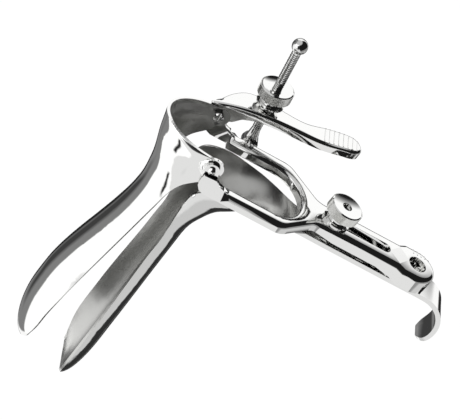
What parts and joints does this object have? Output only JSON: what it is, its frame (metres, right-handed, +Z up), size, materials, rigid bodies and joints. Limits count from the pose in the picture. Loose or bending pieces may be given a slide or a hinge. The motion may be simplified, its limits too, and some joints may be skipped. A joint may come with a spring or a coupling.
{
  "type": "bivalve speculum",
  "caption": "Hinged two-blade speculum with a duck-bill shaped pair of blades, forked yoke on a slotted bar, finger hook, thumb lever and knurled locking nuts.",
  "frame": {"origin": "centre of the bounding box's base, on the floor that the lower blade's tip and the finger hook stand on", "axes": "+X from the blades' tips towards the handle, +Y towards the thumb lever's side and along the hinge axis, +Z up"},
  "size_m": [0.186, 0.0531, 0.1465],
  "materials": {
    "polished_steel": "mirror polished stainless steel",
    "satin_steel": "satin stainless steel",
    "plated_steel": "bright turned steel",
    "knurled_steel": "satin with a straight knurl"
  },
  "bodies": {
    "base": {"lower_blade": "satin_steel", "height_stud": "plated_steel"},
    "frame": {"yoke": "polished_steel", "near_hinge_screw": "polished_steel", "far_hinge_screw": "polished_steel", "rod_pivot_screw": "plated_steel"},
    "valve": {"upper_blade": "polished_steel", "thumb_lever": "polished_steel"},
    "rod": {"angle_rod": "plated_steel", "rod_ball": "plated_steel"},
    "cup": {"angle_washer": "plated_steel"},
    "knob": {"angle_nut": "knurled_steel"},
    "height_knob": {"height_nut": "knurled_steel", "height_washer": "plated_steel"}
  },
  "joints": [
    {"name": "yoke_lift", "type": "slide", "parent": "base", "child": "frame", "axis": [-0.7366, 0, 0.6764], "range_m": [0, 0.025]},
    {"name": "blade_pivot", "type": "hinge", "parent": "frame", "child": "valve", "pos_m": [0.01266, -0.00478, 0.11623], "axis": [0, 1, 0], "range_deg": [-8, 20]},
    {"name": "rod_pivot", "type": "hinge", "parent": "frame", "child": "rod", "pos_m": [0.02176, 0.01922, 0.09638], "axis": [0, 1, 0], "range_deg": [-8, 20]},
    {"name": "nut_travel", "type": "slide", "parent": "rod", "child": "cup", "axis": [0.5397, 0, 0.8419], "range_m": [-0.008, 0.006]},
    {"name": "angle_nut_spin", "type": "hinge", "parent": "cup", "child": "knob", "pos_m": [0.0345, 0.01922, 0.11625], "axis": [0.5397, 0, 0.8419], "continuous": true},
    {"name": "height_nut_spin", "type": "hinge", "parent": "base", "child": "height_knob", "pos_m": [0.05634, -0.00478, 0.06859], "axis": [0.6764, 0, 0.7366], "continuous": true}
  ],
  "couplings": [
    {"joint": "rod_pivot", "follows": "blade_pivot", "ratio": 0.595},
    {"joint": "nut_travel", "follows": "blade_pivot", "m_per_rad": -0.0189}
  ]
}
